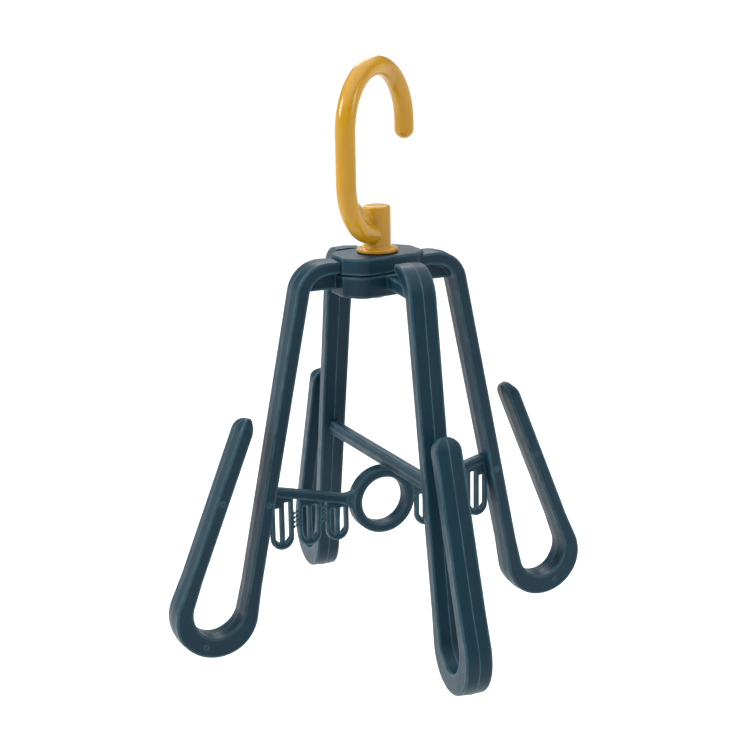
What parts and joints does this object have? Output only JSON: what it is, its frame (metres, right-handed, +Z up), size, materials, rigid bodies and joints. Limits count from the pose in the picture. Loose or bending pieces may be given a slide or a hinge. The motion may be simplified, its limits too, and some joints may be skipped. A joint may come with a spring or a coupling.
{
  "type": "clip drying hanger",
  "caption": "Folding drying hanger: swivel hook over crossed hooked frames that turn about one stem, with a ring and slotted clip fingers on the crossbar.",
  "frame": {"origin": "inside top of the hook's arch, on the swivel axis, where the rail bears", "axes": "+Z up along the swivel axis, +X along the upper frame towards its right arm"},
  "size_m": [0.2522, 0.2538, 0.3205],
  "materials": {
    "frame_plastic": "satin",
    "hook_plastic": "gloss",
    "steel": "bright zinc"
  },
  "bodies": {
    "hook": {"hook": "hook_plastic", "retaining_washer": "steel", "pivot_screw": "steel"},
    "upper_frame": {"upper_hub": "frame_plastic", "upper_arm_right": "frame_plastic", "upper_arm_left": "frame_plastic", "ring_crossbar": "frame_plastic", "clip_finger_right_1": "frame_plastic", "clip_finger_right_2": "frame_plastic", "clip_finger_right_3": "frame_plastic", "clip_finger_left_1": "frame_plastic", "clip_finger_left_2": "frame_plastic", "clip_finger_left_3": "frame_plastic"},
    "lower_frame": {"lower_hub": "frame_plastic", "lower_arm_front": "frame_plastic", "lower_arm_back": "frame_plastic", "lower_crossbar": "frame_plastic"}
  },
  "joints": [
    {"name": "hook_swivel", "type": "hinge", "parent": "hook", "child": "upper_frame", "pos_m": [0, 0, -0.094], "axis": [0, 0, 1], "continuous": true},
    {"name": "frame_fold", "type": "hinge", "parent": "upper_frame", "child": "lower_frame", "pos_m": [0, 0, -0.1038], "axis": [0, 0, 1], "range_deg": [-67.5, 38]}
  ]
}
